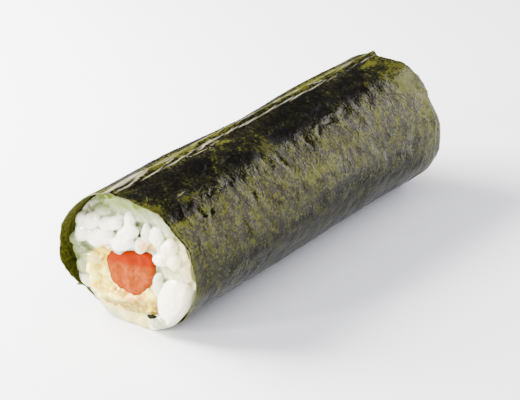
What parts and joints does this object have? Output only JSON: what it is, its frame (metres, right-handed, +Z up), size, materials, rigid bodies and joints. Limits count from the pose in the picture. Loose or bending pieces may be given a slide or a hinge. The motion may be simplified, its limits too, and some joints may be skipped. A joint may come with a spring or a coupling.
{
  "type": "temaki hand roll",
  "caption": "Hand roll: a cylinder of vinegared rice wrapped in a wound sheet of nori, with salmon and mayonnaise running through it from end to end.",
  "frame": {"origin": "middle of the underside of the roll's bounding box, on the surface that it lies on", "axes": "+X along the roll towards its far end, +Z up; the near open end looks towards -X"},
  "size_m": [0.1056, 0.0358, 0.0348],
  "materials": {
    "nori": "dark green pressed seaweed sheet, uneven satin",
    "rice": "cooked white rice, moist and slightly translucent",
    "salmon": "moist orange-pink fish",
    "mayo": "glossy pale yellow mayonnaise"
  },
  "bodies": {
    "root": {"nori": "nori", "rice": "rice", "salmon": "salmon", "mayo": "mayo"}
  },
  "joints": []
}
